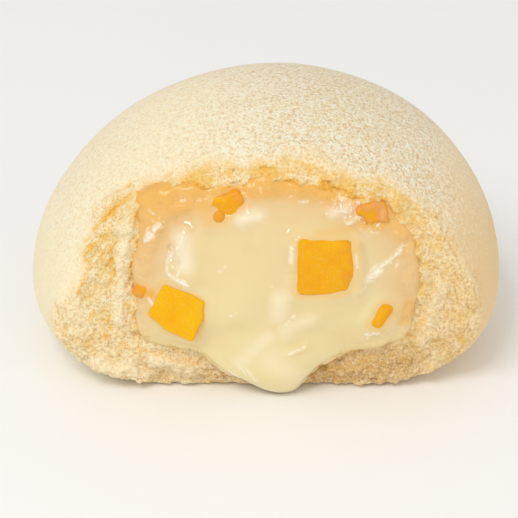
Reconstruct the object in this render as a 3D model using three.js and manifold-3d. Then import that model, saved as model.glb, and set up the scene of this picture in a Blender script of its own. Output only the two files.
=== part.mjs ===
// A custard sponge cake whose front has been torn open: a domed sponge shell, the custard that fills it and
// runs out of the tear, and the diced fruit in the custard. Millimetres, +Z up; the tear faces -Y, and the
// origin is on the flat base, under the middle of the dome.
import * as THREE from "three";
import { mergeVertices } from "three/addons/utils/BufferGeometryUtils.js";
import { RoundedBoxGeometry } from "three/addons/geometries/RoundedBoxGeometry.js";
import Module from "manifold-3d";

const wasm = await Module();
wasm.setup();

// The dome: half an ellipse above its waist, a shallower one below it, cut flat at the base.
const cake = {
  waistRadius: 37,
  waistHeight: 10,
  height: 42.7,
  lowerDepth: 14.1,
  crownShift: 2.2,
  unevenness: 0.35,
  around: 88,
  upperSteps: 17,
  lowerSteps: 7,
};

// The tear: an upright face this far in front of the dome's middle, rolled back at its lip, with strands of
// crumb that run round the filling and rounder crags among them.
const tear = { depth: 18.4, lipRoll: 1.7, lipPower: 6, strand: 1.0, crag: 0.6, step: 1.4 };

// The custard: a blunt-fronted mass in the sponge, with a tongue that runs over the lower lip to the base.
const custard = {
  middle: new THREE.Vector3(1.9, 1, 20.1),
  halfWidth: 22.8,
  halfHeight: 15.3,
  backDepth: 23,
  frontDepth: 21.8,
  outlinePower: 2.7,
  frontPower: 7,
  backPower: 2.4,
  sag: 2,
  fold: 0.7,
  around: 48,
  frontRings: 13,
  backRings: 7,
};
const tongue = {
  middle: new THREE.Vector3(2.9, -17.8, 9),
  half: new THREE.Vector3(14, 4.2, 8.9),
  taper: 0.6,
  slope: 0.28,
};
const clearance = 0.35;

const domeUp = cake.height - cake.waistHeight;
const crumbColour = 0xf1dfb4;
const custardColour = 0xf3dca6;
const fruitColour = 0xf9b420;

// Smooth random values from -1 to 1 on a lattice, the same on every run.
function lattice(i, j, k) {
  const s = Math.sin(i * 127.1 + j * 311.7 + k * 74.7) * 43758.5453;
  return 2 * (s - Math.floor(s)) - 1;
}

function noise(x, y, z) {
  const cell = [Math.floor(x), Math.floor(y), Math.floor(z)];
  const part = [x - cell[0], y - cell[1], z - cell[2]].map((t) => t * t * (3 - 2 * t));
  let sum = 0;
  for (let corner = 0; corner < 8; corner++) {
    const bit = [corner & 1, (corner >> 1) & 1, corner >> 2];
    const weight = bit.reduce((w, b, n) => w * (b ? part[n] : 1 - part[n]), 1);
    sum += weight * lattice(cell[0] + bit[0], cell[1] + bit[1], cell[2] + bit[2]);
  }
  return sum;
}

// A geometry as a solid: shared vertices merged, and faces that have shrunk to a line left out.
function solidOf(geometry) {
  const bare = geometry.clone();
  bare.deleteAttribute("normal");
  bare.deleteAttribute("uv");
  const merged = mergeVertices(bare, 1e-4);
  const faces = [];
  for (let i = 0; i < merged.index.count; i += 3) {
    const [a, b, c] = [0, 1, 2].map((n) => merged.index.getX(i + n));
    if (a !== b && b !== c && c !== a) faces.push(a, b, c);
  }
  return new wasm.Manifold(
    new wasm.Mesh({
      numProp: 3,
      vertProperties: merged.attributes.position.array,
      triVerts: new Uint32Array(faces),
    }),
  );
}

// The largest piece of a solid, without the loose scraps that a cut leaves.
function largest(solid) {
  return solid.decompose().reduce((best, piece) => (piece.volume() > best.volume() ? piece : best));
}

// A solid as a geometry again.
function geometryOf(solid) {
  const made = solid.getMesh();
  return new THREE.BufferGeometry()
    .setAttribute("position", new THREE.BufferAttribute(made.vertProperties, 3))
    .setIndex(new THREE.BufferAttribute(made.triVerts, 1));
}

// Moves every vertex of a geometry by a function of its place.
function shaped(geometry, move) {
  const place = geometry.attributes.position;
  const point = new THREE.Vector3();
  for (let i = 0; i < place.count; i++) {
    move(point.fromBufferAttribute(place, i));
    place.setXYZ(i, point.x, point.y, point.z);
  }
  return geometry;
}

// The dome leans a little to +X towards its crown.
function lean(z) {
  return cake.crownShift * (z / cake.height) ** 2;
}

// The dome's outline from the middle of its base to its top, as radius and height.
function domeProfile() {
  const below = Math.asin(cake.waistHeight / cake.lowerDepth);
  const points = [new THREE.Vector2(0, 0)];
  for (let i = 0; i <= cake.lowerSteps; i++) {
    const angle = -below * (1 - i / cake.lowerSteps);
    const height = i ? cake.waistHeight + cake.lowerDepth * Math.sin(angle) : 0;
    points.push(new THREE.Vector2(cake.waistRadius * Math.cos(angle), height));
  }
  for (let i = 1; i < cake.upperSteps; i++) {
    const angle = (Math.PI / 2) * (i / cake.upperSteps);
    const height = cake.waistHeight + domeUp * Math.sin(angle);
    points.push(new THREE.Vector2(cake.waistRadius * Math.cos(angle), height));
  }
  points.push(new THREE.Vector2(0, cake.height));
  return points;
}

// The whole dome, before it is torn: never quite round.
function dome() {
  const turned = new THREE.LatheGeometry(domeProfile(), cake.around).rotateX(Math.PI / 2);
  return shaped(turned, (p) => {
    const lift = Math.min(1, p.z / cake.waistHeight);
    const swell = 1 + (cake.unevenness * lift * noise(p.x / 17, p.y / 17, p.z / 17)) / cake.waistRadius;
    p.set(p.x * swell + lean(p.z), p.y * swell, p.z * swell);
  });
}

// The torn face's place along Y at a point of it: 1 on the outline's radius is the lip.
function tornFace(x, z) {
  const share = Math.sqrt(1 - (tear.depth / cake.waistRadius) ** 2);
  const rise = z > cake.waistHeight ? domeUp : cake.lowerDepth;
  const across = (x - lean(z)) / (cake.waistRadius * share);
  const up = (z - cake.waistHeight) / (rise * share);
  const radius = Math.min(1.15, Math.hypot(across, up));
  const angle = Math.atan2(up, across);
  const strands = noise(2.6 * Math.cos(angle), 2.6 * Math.sin(angle), radius * 11);
  const crags = noise(x / 2.4, 5, z / 2.4);
  const calm = Math.min(1, Math.max(0.2, (1.02 - radius) / 0.12));
  return -tear.depth + tear.lipRoll * radius ** tear.lipPower + calm * (tear.strand * strands + tear.crag * crags);
}

// Everything in front of the torn face.
function tornAway() {
  const [width, depth, height, under] = [90, 40, 60, 8];
  const slab = new THREE.BoxGeometry(
    width, depth, height,
    Math.round(width / tear.step), 1, Math.round(height / tear.step),
  );
  slab.translate(0, -tear.depth - depth / 2, height / 2 - under);
  return shaped(slab, (p) => {
    if (p.y > -tear.depth - 1) p.y = tornFace(p.x, p.z);
  });
}

// The custard's profile from its front to its back, as reach from its axis and depth, both up to 1.
function custardProfile() {
  const { frontRings, backRings, frontPower, backPower } = custard;
  const front = (i) => {
    const reach = Math.sin((Math.PI / 2) * (i / frontRings)) ** 0.8;
    return new THREE.Vector2(reach, -((1 - reach ** frontPower) ** (1 / frontPower)));
  };
  const back = (i) => {
    const turn = (Math.PI / 2) * (i / backRings);
    const [reach, depth] = [Math.cos(turn), Math.sin(turn)];
    const size = (reach ** backPower + depth ** backPower) ** (-1 / backPower);
    return new THREE.Vector2(reach * size, depth * size);
  };
  const points = [new THREE.Vector2(0, -1)];
  for (let i = 1; i <= frontRings; i++) points.push(front(i));
  for (let i = 1; i < backRings; i++) points.push(back(i));
  return [...points, new THREE.Vector2(0, 1)];
}

// How far the custard's front is pushed along Y at a point across and up from its middle.
function custardSlump(across, up) {
  return (custard.sag * up) / custard.halfHeight + custard.fold * noise(across / 6, 2, up / 8);
}

// The custard's mass, each way larger by grow: the profile turned round and squared off.
function custardMass(grow) {
  const turned = new THREE.LatheGeometry(custardProfile(), custard.around);
  return shaped(turned, (p) => {
    const reach = Math.hypot(p.x, p.z);
    const [cross, rise] = reach > 1e-6 ? [p.x / reach, p.z / reach] : [1, 0];
    const power = custard.outlinePower;
    const corner = (Math.abs(cross) ** power + Math.abs(rise) ** power) ** (-1 / power);
    const across = reach * corner * cross * (custard.halfWidth + grow);
    const up = reach * corner * rise * (custard.halfHeight + grow);
    const depth = p.y * ((p.y > 0 ? custard.backDepth : custard.frontDepth) + grow);
    const front = Math.min(1, Math.max(0, -2 * p.y));
    p.set(across, depth + front * custardSlump(across, up), up).add(custard.middle);
  });
}

// The tongue: a drop that narrows to its foot and slopes out from the mass as it comes down.
function custardTongue(grow) {
  const drop = new THREE.SphereGeometry(1, 24, 14);
  return shaped(drop, (p) => {
    const narrow = 1 - tongue.taper * (0.5 - p.z / 2);
    const up = p.z * (tongue.half.z + grow);
    const forward = p.y * (tongue.half.y + grow) + tongue.slope * up;
    p.set(p.x * narrow * (tongue.half.x + grow), forward, up).add(tongue.middle);
  });
}

// The custard as one solid, each way larger by grow.
function custardSolid(grow) {
  return solidOf(custardMass(grow)).add(solidOf(custardTongue(grow)));
}

// The custard's front face along Y, straight in front of a point of the tear.
function custardFront(x, z) {
  const { middle, halfWidth, halfHeight, outlinePower, frontPower, frontDepth } = custard;
  const [across, up] = [x - middle.x, z - middle.z];
  const outline = (Math.abs(across) / halfWidth) ** outlinePower + (Math.abs(up) / halfHeight) ** outlinePower;
  const bulge = (1 - Math.min(1, outline ** (frontPower / outlinePower))) ** (1 / frontPower);
  return middle.y - bulge * frontDepth + custardSlump(across, up);
}

// The diced fruit: each piece's size, its middle as X and Z, how far it stands proud of the custard, and its
// turn about X, Y and Z in degrees.
const fruit = [
  { name: "fruit_cube_right", size: [8.2, 7.6, 8.2], at: [9.2, 21.5], proud: 0.9, turn: [-10, 2, 6] },
  { name: "fruit_cube_left", size: [7.2, 6.8, 7], at: [-12.9, 14.6], proud: 0.9, turn: [-8, 20, -8] },
  { name: "fruit_chunk_top_left", size: [6, 4, 3.6], at: [-6.2, 31.2], proud: 0.5, turn: [0, -14, 0] },
  { name: "fruit_chunk_top_right", size: [4.2, 4, 4], at: [16.9, 30], proud: 0.6, turn: [0, 20, 12] },
  { name: "fruit_bit_right", size: [2.5, 3, 3.6], at: [18, 13.4], proud: 0.5, turn: [0, -24, 20] },
  { name: "fruit_bit_left", size: [2.6, 3, 3.2], at: [-18, 17.2], proud: 0.6, turn: [0, 12, -20] },
];

// One piece of fruit, each way larger by grow, set into the custard's front.
function dice(piece, grow) {
  const [width, depth, height] = piece.size.map((side) => side + 2 * grow);
  const rounded = new RoundedBoxGeometry(width, depth, height, 1, 0.1 * width + grow);
  const turn = new THREE.Euler(...piece.turn.map(THREE.MathUtils.degToRad));
  const [x, z] = piece.at;
  const y = custardFront(x, z) + piece.size[1] / 2 - piece.proud;
  return rounded.applyQuaternion(new THREE.Quaternion().setFromEuler(turn)).translate(x, y, z);
}

// A solid as a mesh with its name and look.
function named(name, solid, colour, roughness) {
  const look = new THREE.MeshStandardMaterial({ color: colour, roughness, metalness: 0 });
  const mesh = new THREE.Mesh(geometryOf(solid), look);
  mesh.name = name;
  return mesh;
}

const aboveBase = solidOf(new THREE.BoxGeometry(100, 100, 60).translate(0, 0, 30));
const pieces = fruit.map((piece) => solidOf(dice(piece, 0)));
const pockets = fruit.map((piece) => solidOf(dice(piece, clearance))).reduce((all, pocket) => all.add(pocket));
const filling = custardSolid(0).intersect(aboveBase).subtract(pockets);
const torn = solidOf(dome()).subtract(solidOf(tornAway()));
const shell = largest(torn.subtract(custardSolid(clearance)).subtract(pockets));

const group = new THREE.Group();
group.name = "custard_sponge_cake";
group.add(named("sponge", shell, crumbColour, 0.9));
group.add(named("custard", largest(filling), custardColour, 0.25));
fruit.forEach((piece, n) => group.add(named(piece.name, pieces[n], fruitColour, 0.3)));

export default group;
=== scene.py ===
"""A domed sponge cake torn open at its front, with the custard that runs out of it and its diced fruit.

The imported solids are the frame. Each piece is modelled here again at its real size and place, takes over the
solid it stands for, and gets the crumb, gloss and colour of the real food.
"""
import math

import bmesh
import bpy
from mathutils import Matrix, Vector, noise
from mathutils.bvhtree import BVHTree

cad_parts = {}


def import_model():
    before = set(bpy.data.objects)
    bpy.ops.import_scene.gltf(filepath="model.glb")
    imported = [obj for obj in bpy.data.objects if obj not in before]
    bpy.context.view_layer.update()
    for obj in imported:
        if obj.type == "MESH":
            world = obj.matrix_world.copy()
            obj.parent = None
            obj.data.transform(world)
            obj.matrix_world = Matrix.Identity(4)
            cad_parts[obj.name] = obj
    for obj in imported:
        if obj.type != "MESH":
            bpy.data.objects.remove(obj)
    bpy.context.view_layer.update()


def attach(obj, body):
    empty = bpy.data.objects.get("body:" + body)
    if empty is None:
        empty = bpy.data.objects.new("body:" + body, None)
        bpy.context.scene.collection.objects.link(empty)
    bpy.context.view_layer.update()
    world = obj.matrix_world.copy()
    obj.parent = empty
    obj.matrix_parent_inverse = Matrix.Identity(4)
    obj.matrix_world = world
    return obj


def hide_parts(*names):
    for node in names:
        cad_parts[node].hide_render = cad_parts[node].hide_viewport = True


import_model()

MM = 0.001

# The dome, in millimetres: half an ellipse over its waist and a shallower one under it, its crown shifted to
# one side, cut flat at the base and torn off upright at a depth in front of its middle.
WAIST_RADIUS = 37
WAIST_HEIGHT = 10
DOME_HEIGHT = 42.6
LOWER_DEPTH = 14.1
CROWN_SHIFT = 2.2
TEAR_DEPTH = 18.4

# How fine the meshes are before their fronts are divided, in millimetres.
SPONGE_VOXEL = 0.8
CUSTARD_VOXEL = 0.7

# The torn strands: how long and how wide one is, and the tear's mean radius, which they run round.
STRAND_LENGTH = 6
STRAND_WIDTH = 1
GRAIN_RADIUS = 26

# The share of the way from the tear's middle to its lip at which the lip begins.
LIP_START = 0.92

# Colours, as they look in plain light, apart from those noted as painted shade or painted highlight.
SKIN_PALE = 0xF5E6C2
# Also the colour of the painted shade on the skin's right side.
SKIN_TAN = 0xECCC98
SKIN_RIDGE = 0xFFF5E0
PORE = 0xEDD4AE
PORE_DEEP = 0xD6B080
CRUMB_WHITE = 0xFBEBC4
CRUMB_CREAM = 0xEDD08A
CRUMB_SHADE = 0xDCAE66
# Painted shade low on the crumb.
CRUMB_LOW_SHADE = 0xC6995C
AMBER = 0xF1C05A
AMBER_DEEP = 0xE8A236
CUSTARD_PALE = 0xEADBA6
CUSTARD_WARM = 0xE9D099
CUSTARD_PEACH = 0xE7C58E
CUSTARD_AMBER = 0xECAE3A
# Painted highlight on the custard.
CUSTARD_HIGHLIGHT = 0xFFF8E8
FRUIT_YELLOW = 0xF3BA00
FRUIT_ORANGE = 0xF2A000
FRUIT_DEEP = 0xE48A20
FLOOR_PALE = 0xFAFAF9
SKY_WHITE = 0xFFFFFF

# The lists that follow are strokes on the front: from X, Z to X, Z, half the width, how much of that is soft
# edge, and how much it does. First, where juice has run between the torn strands.
JUICE = [
    ((-26.4, 17), (-23.4, 28), 3.4, 2.6, 0.42),
    ((-28.6, 17), (-26.6, 24.4), 1.4, 1, 1),
    ((-26.6, 24.4), (-23.8, 28.6), 1.4, 1, 1.05),
    ((-23.8, 28.6), (-20.6, 33), 1.4, 1, 1.05),
    ((-24.2, 27), (-24.6, 22.4), 1.1, 0.9, 0.9),
    ((-23.4, 24.6), (-22.8, 18.8), 0.8, 0.5, 1.1),
    ((-27.6, 11.6), (-26.4, 13), 1, 0.8, 0.8),
    ((-24.6, 8.6), (-23.6, 12.4), 1, 0.8, 0.9),
    ((-19.8, 25), (-19.2, 30.6), 1, 0.8, 0.8),
    ((-19.4, 22), (-19.2, 22.3), 0.9, 0.4, 1.3),
    ((-20.8, 14.5), (-19, 9.6), 1.4, 1.2, 0.85),
    ((-19, 33.4), (-9, 37.2), 2, 1.4, 0.7),
    ((-9, 37.2), (6, 37.8), 2, 1.4, 0.65),
    ((6, 37.8), (19, 34), 1.8, 1.4, 0.65),
    ((19, 33.6), (26, 25), 2.2, 1.8, 0.55),
    ((25, 26), (30, 15), 2, 1.8, 0.5),
    ((30.2, 8), (29.4, 13), 1.2, 1, 0.7),
    ((23.6, 16), (24.4, 22), 1.2, 1.1, 0.6),
    ((20.6, 7), (24.4, 12.6), 1.6, 1.5, 0.5),
    ((8, 3), (21, 5.6), 2.2, 2, 0.5),
    ((-22, 7.6), (-10, 4.4), 1, 0.8, 0.55),
]

# Painted shade on the crumb low down, most on the right, where it lies in shade.
PAINTED_LOW_SHADE = [
    ((7, 2.6), (22, 4.6), 4.2, 4, 0.75),
    ((22, 4.6), (30, 10), 3, 3, 0.3),
    ((-18, 3.2), (-7, 2.4), 2.8, 2.4, 0.22),
]

# Ridges and lumps of crumb that were pulled forward, and by how many millimetres.
RIDGES = [
    ((-22.4, 12), (-21.8, 22), 1.6, 1.4, 0.7),
    ((-21.8, 22), (-20.2, 31), 1.3, 1, 0.8),
    ((-29.4, 10), (-28.2, 20), 1.6, 1.4, 0.5),
    ((-25.6, 4.4), (-23.2, 2.6), 2, 1.6, 0.9),
    ((-21.8, 3.6), (-19.6, 2.2), 1.8, 1.4, 0.8),
    ((-17, 5), (-11.6, 3), 1.6, 1.4, 0.6),
    ((-24, 4.6), (-12, 3), 3.2, 2.8, 0.35),
    ((24.2, 8), (26.6, 18), 1.6, 1.4, 0.5),
    ((12, 3.4), (16, 2.6), 1.6, 1.4, 0.7),
]

# The custard's mass: its middle and half its size along X and Z, the corners of its outline and how far each
# is drawn out, and its sections from front to back, as place along Y and size. It thins out where it meets
# the torn face, and from a hinge along Y its front leans in by so many degrees under the top lip.
CUSTARD_MIDDLE = (1.8, 21)
CUSTARD_HALF = (21.8, 15)
CUSTARD_CORNERS = [
    ((-13.7, 31.6), (-4, 1.8)),
    ((-13.7, 10.4), (-4.4, -1.4)),
    ((17.3, 10.4), (3, -1.2)),
]
CUSTARD_SECTIONS = [
    (-20.4, 0.56), (-20.2, 0.72), (-19.8, 0.84), (-19.3, 0.92), (-18.9, 0.965), (-18.5, 0.99),
    (-18, 1), (-17, 1), (4, 1), (14, 0.9), (20, 0.7), (23, 0.4),
]
CUSTARD_HINGE = -18.5
CUSTARD_LEAN = 3

# Folds in the custard's front, and how many millimetres each stands out or, below 0, sinks in.
FOLDS = [
    ((-3, 20), (7, 20.6), 13, 10, 1),
    ((-11.4, 27), (-12.2, 21), 3.4, 2.2, 0.35),
    ((-4.5, 13), (2.5, 6), 7, 6, 0.6),
    ((2.4, 16.8), (2.1, 15.2), 2.4, 2.4, 0.3),
    ((3.2, 12), (6.8, 13.4), 2, 2, 0.3),
    ((-12, 28.2), (-14.4, 21.8), 1.1, 1.1, 0.3),
    ((-14.8, 21.2), (-11.9, 19.5), 1, 1, 0.3),
    ((-14.1, 25.2), (-13.3, 23), 0.9, 0.6, -0.4),
    ((15.6, 20), (20.4, 24.4), 1.2, 1.2, 0.3),
    ((3.8, 8.6), (6, 9.2), 1.2, 1.2, 0.35),
    ((-17.7, 26.2), (-15.9, 29), 1, 1, 0.3),
    ((-3.2, 30.1), (-1.2, 30.7), 1.6, 1.6, 0.4),
    ((4.3, 26.2), (4.2, 22.6), 1, 1, 0.3),
    ((13.9, 25.4), (14.3, 18.6), 1.4, 1.2, 0.4),
    ((6.4, 26.4), (13.4, 26.2), 1.2, 1.1, 0.3),
    ((10.2, 31), (12.4, 31.6), 1.2, 1.2, 0.4),
    ((12.6, 29.6), (14.8, 30.6), 1, 1, 0.3),
    ((-10.4, 8.6), (-4.6, 3.4), 1.4, 1.4, 0.2),
]

# Where the custard's film has wrinkled, and how much: its bump, and the painted highlights on its threads.
WRINKLES = [
    ((-17.8, 26), (-15.8, 29.2), 1.3, 1.3, 1),
    ((-12.4, 28.4), (-14.6, 21.4), 1.2, 1.2, 0.8),
    ((-14.8, 21.2), (-11.4, 19.4), 1.1, 1.1, 0.8),
    ((15.4, 19.8), (20.6, 24.6), 1.3, 1.3, 0.8),
    ((10.8, 32), (16.2, 29.2), 2.2, 2, 1),
    ((15.4, 10.2), (19.2, 11.2), 1.2, 1.2, 0.8),
    ((-8, 32.9), (-5.2, 33), 0.9, 0.9, 1),
]

# Painted soft highlights on the custard: pale patches of painted sheen.
PAINTED_SHEEN = [
    ((-12.4, 27), (-12.2, 22.6), 2.4, 2.4, 0.5),
    ((-3.4, 30), (-1, 30.8), 2, 2, 0.5),
    ((2.3, 17.4), (2.2, 14.6), 2.4, 2.4, 0.35),
    ((0.5, 7.5), (4.6, 4.4), 3, 3, 0.2),
    ((-4, 6.4), (0.5, 11), 1.8, 1.8, 0.25),
    ((3.2, 12), (6.8, 13.4), 2.2, 2.2, 0.25),
    ((10.2, 31.2), (12.2, 31.6), 1.6, 1.6, 0.4),
    ((15.8, 20.6), (17.2, 21.6), 1.3, 1.2, 0.5),
]

# Where juice from the fruit and from the wet crumb has coloured the custard, and how much; along the top,
# under the lip, the amber is partly painted shade.
GLOWS = [
    ((-19, 17.8), (-17.2, 17.2), 1.9, 1.9, 0.9),
    ((13.2, 20), (13.6, 26), 2, 2, 0.35),
    ((8, 27.8), (13.4, 28.6), 1.6, 1.6, 0.4),
    ((14.6, 29.4), (17.4, 28.8), 1.6, 1.4, 0.8),
    ((18.6, 29), (20.6, 26.6), 1.5, 1.5, 0.5),
    ((21.2, 12.4), (21.8, 15.4), 1.9, 1.9, 0.6),
    ((18.6, 14), (20.6, 14.2), 1.6, 1.6, 0.3),
    ((-9.6, 34), (12, 34.8), 2.2, 2, 0.7),
]

# Painted highlights: thin white streaks and flecks of painted glint on the custard's film.
PAINTED_GLINTS = [
    ((-12.2, 28.2), (-12.9, 26.2), 0.45, 0.45, 1),
    ((-13.1, 25.8), (-14.2, 23.6), 0.4, 0.4, 0.9),
    ((-14.9, 21.3), (-13.3, 20.4), 0.45, 0.45, 1),
    ((-13.3, 20.4), (-11.6, 19.4), 0.4, 0.4, 1),
    ((-13.4, 20.6), (-12.6, 22.2), 0.35, 0.35, 0.8),
    ((-14.9, 21.3), (-14.6, 23.4), 0.35, 0.35, 0.7),
    ((-17.8, 26.1), (-16.8, 27.5), 0.5, 0.5, 1),
    ((-17, 27.4), (-15.8, 29.1), 0.45, 0.45, 1),
    ((-17.5, 27.1), (-16.5, 28.7), 0.35, 0.35, 0.8),
    ((-17.3, 31.2), (-16.6, 30.6), 0.35, 0.35, 0.8),
    ((17, 21.8), (20.4, 24.6), 0.45, 0.45, 0.9),
    ((15.4, 20.2), (17.2, 21.8), 0.6, 0.6, 1),
    ((15.8, 21.6), (16.8, 22.6), 0.35, 0.35, 0.8),
    ((19.8, 22), (20.6, 25.4), 0.35, 0.35, 0.5),
    ((4, 26.2), (3.9, 23.6), 0.45, 0.45, 0.8),
    ((12.4, 29.4), (14.4, 30.6), 0.4, 0.4, 0.9),
    ((13.6, 32.2), (15.2, 31.2), 0.4, 0.4, 0.8),
    ((11, 32.2), (11.8, 31), 0.4, 0.4, 0.8),
    ((13, 31.6), (13.6, 30.8), 0.35, 0.35, 0.7),
    ((14.8, 33), (15.4, 32.6), 0.35, 0.35, 0.8),
    ((-7.8, 32.9), (-5.4, 33.2), 0.35, 0.35, 0.9),
    ((-3.4, 30.4), (-2, 30.9), 0.45, 0.45, 0.7),
    ((3.7, 8.5), (5.9, 9.2), 0.4, 0.4, 0.7),
    ((3.2, 13), (4.4, 14.4), 0.4, 0.4, 0.7),
    ((13.6, 25), (13.9, 22.8), 0.3, 0.3, 0.5),
    ((15.4, 10.6), (16.6, 10.9), 0.45, 0.45, 0.9),
    ((-17.6, 16.5), (-16.9, 15.5), 0.4, 0.4, 0.9),
    ((5.2, 32.6), (6.2, 32.7), 0.4, 0.4, 0.9),
    ((-5.4, 4.4), (-1.4, 1.9), 0.5, 0.5, 0.5),
    ((-1.4, 1.9), (2, 0.8), 0.4, 0.4, 0.4),
    ((4.6, 2.4), (6.3, 4.8), 0.35, 0.35, 0.4),
    ((-3.8, 5.8), (-1.6, 3.6), 0.9, 0.9, 0.5),
    ((-6.9, 21.9), (-6.7, 21.9), 0.35, 0.35, 0.8),
    ((-6.1, 22.6), (-6, 22.6), 0.25, 0.25, 0.7),
    ((-5.2, 14.8), (-5, 14.8), 0.35, 0.35, 0.7),
    ((-4.4, 15.3), (-4.3, 15.3), 0.25, 0.25, 0.7),
    ((1, 19.5), (1.1, 19.5), 0.25, 0.25, 0.6),
]

# The tongue, from its top inside the mass to its foot: height, middle along X and Y, and half its width and
# depth.
TONGUE_SECTIONS = [
    (16, 1.6, -16.6, 14.5, 3),
    (10, 1.5, -17.8, 14, 3.8),
    (7.2, 1.2, -18.3, 11.8, 3.9),
    (4.4, 0.5, -18.8, 8, 3.7),
    (2.6, 1.2, -19, 5.3, 3.3),
    (1.1, 2, -19, 3.6, 2.8),
    (0.1, 2.8, -18.9, 2.2, 2.1),
]

# Diced fruit, by the solid each stands for: size, place along X and Z, turn in degrees about X, Y and Z, how
# far it stands out of the custard, how round its edges are, how uneven its sides, and how much custard films
# it.
FRUIT = {
    "fruit_cube_right": ((9, 7.4, 9.5), (9.1, 22.55), (-2, 2, 3), 0.5, 1, 0.2, 0.12),
    "fruit_cube_left": ((7.8, 6.6, 7.2), (-12.7, 14.4), (-8, 22, -12), 1.1, 0.5, 0.12, 0),
    "fruit_chunk_top_left": ((6.6, 4.2, 3.6), (-6.2, 31.9), (0, -20, 0), 0.6, 0.7, 0.9, 0.28),
    "fruit_chunk_top_right": ((4.8, 3.8, 3.7), (15.9, 30.3), (-8, -8, 10), 0.8, 0.8, 1.3, 0.4),
    "fruit_bit_right": ((2.6, 2.8, 4.8), (17.6, 13.9), (0, 30, 10), 0.7, 1.1, 0.2, 0.18),
    "fruit_bit_left": ((2.4, 2.8, 3), (-18.6, 17.6), (0, 24, -24), 0.6, 1, 0.5, 0.35),
}

# Corners of the dice that are drawn out of square: the side that moves, how far, and how much moves with it.
DRAWN_CORNERS = {
    "fruit_cube_right": [((0.7, 0, -0.7), (-0.7, 0, 0.6), 3), ((0.7, 0, 0.7), (-0.8, 0, 0), 4)],
    "fruit_cube_left": [((-0.9, 0, -0.5), (0.2, 0, 0.9), 3), ((0.9, 0, 0.5), (-0.8, 0, 0.2), 3)],
    "fruit_chunk_top_left": [((-0.8, 0, 0.6), (0.4, 0, -0.9), 2)],
    "fruit_chunk_top_right": [((-0.6, 0, -0.8), (1.2, 0, 0.6), 2.4)],
}

# How much more custard films the right side of a die that lies aslant, where that is more than a little.
VEILED_SIDE = {"fruit_cube_right": 2}

# The bead of juice under the top left chunk: its place along X and Z, and its radius.
JUICE_BEAD = (-6.9, 30.4, 1.05)

# The lamps, in metres: place, the point each is aimed at, width, watts and colour. The key is large and soft,
# from the upper left, the fill is weak, from the right, and the glints show in the wet custard.
LAMPS = {
    "key": ((-0.27, -0.36, 0.6), (0, 0, 0.02), 0.4, 1.75, 0xFFFDF8),
    "fill": ((0.5, -0.35, 0.25), (0, 0, 0.02), 0.5, 0.4, 0xFFECD2),
    "high glint": ((-0.12, -0.42, 0.62), (0, -0.02, 0.02), 0.07, 0.25, 0xFFFFFF),
    "low glint": ((-0.12, -0.7, 0.16), (0, -0.02, 0.02), 0.08, 0.2, 0xFFFFFF),
}
SKY_STRENGTH = 0.66

# The camera, in millimetres: its place, the point it looks at, and its lens.
CAMERA_PLACE = (0, -389.7, 225)
CAMERA_AIM = (-0.96, 0, 12.47)
CAMERA_LENS = 194.46


def linear(hex_colour):
    """A colour written as sRGB hex, as the linear values that Blender's colour sockets take."""
    channels = [((hex_colour >> shift) & 255) / 255 for shift in (16, 8, 0)]
    lit = [c / 12.92 if c <= 0.04045 else ((c + 0.055) / 1.055) ** 2.4 for c in channels]
    return (*lit, 1.0)


def add_node(tree, kind, inputs=None, **settings):
    """Adds a node with its settings; each input is a value, or another node's output to link."""
    made = tree.nodes.new(kind)
    for name, value in settings.items():
        setattr(made, name, value)
    for name, value in (inputs or {}).items():
        if isinstance(value, bpy.types.NodeSocket):
            tree.links.new(value, made.inputs[name])
        else:
            made.inputs[name].default_value = value
    return made


def smooth(value, low, high):
    """0 below low, 1 above high, and a soft step between; low may be the larger."""
    share = min(1, max(0, (value - low) / (high - low)))
    return share * share * (3 - 2 * share)


def deselect():
    for piece in bpy.context.selected_objects:
        piece.select_set(False)


def settle(name):
    """Names the piece just added and puts its place into its mesh, so that it sits at the origin."""
    piece = bpy.context.object
    piece.name = name
    piece.data.name = name
    bpy.ops.object.transform_apply(location=True, rotation=True, scale=True)
    return piece


def edit(piece):
    """Opens a piece in edit mode, alone and with nothing in it selected."""
    deselect()
    piece.select_set(True)
    bpy.context.view_layer.objects.active = piece
    bpy.ops.object.mode_set(mode="EDIT")
    bpy.ops.mesh.select_all(action="DESELECT")


def pick(piece, kind, test):
    """In edit mode, selects the vertices, edges or faces that pass a test, and nothing else."""
    bpy.ops.mesh.select_mode(type=kind)
    bpy.ops.mesh.select_all(action="DESELECT")
    mesh = bmesh.from_edit_mesh(piece.data)
    for part in {"VERT": mesh.verts, "EDGE": mesh.edges, "FACE": mesh.faces}[kind]:
        if test(part):
            part.select_set(True)
    bmesh.update_edit_mesh(piece.data)


def finish_editing():
    bpy.ops.mesh.select_all(action="SELECT")
    bpy.ops.mesh.normals_make_consistent(inside=False)
    bpy.ops.object.mode_set(mode="OBJECT")


def modify(piece, kind, **settings):
    """Adds a modifier with its settings and applies it."""
    deselect()
    piece.select_set(True)
    bpy.context.view_layer.objects.active = piece
    modifier = piece.modifiers.new(kind.lower(), kind)
    for name, value in settings.items():
        setattr(modifier, name, value)
    bpy.ops.object.modifier_apply(modifier=modifier.name)


def weigh(piece, name, weight_of):
    """Gives a piece a vertex group, with a weight worked out from each vertex."""
    group = piece.vertex_groups.new(name=name)
    for vertex in piece.data.vertices:
        group.add([vertex.index], weight_of(vertex), "REPLACE")


def record(piece, name, value_of):
    """Gives a piece a number at each vertex, for its material to read."""
    attribute = piece.data.attributes.new(name, "FLOAT", "POINT")
    attribute.data.foreach_set("value", [value_of(vertex) for vertex in piece.data.vertices])


def pattern(name, kind, **settings):
    """A texture for Displace, sized in metres."""
    texture = bpy.data.textures.new(name, kind)
    for key, value in settings.items():
        setattr(texture, key, value)
    return texture


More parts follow.
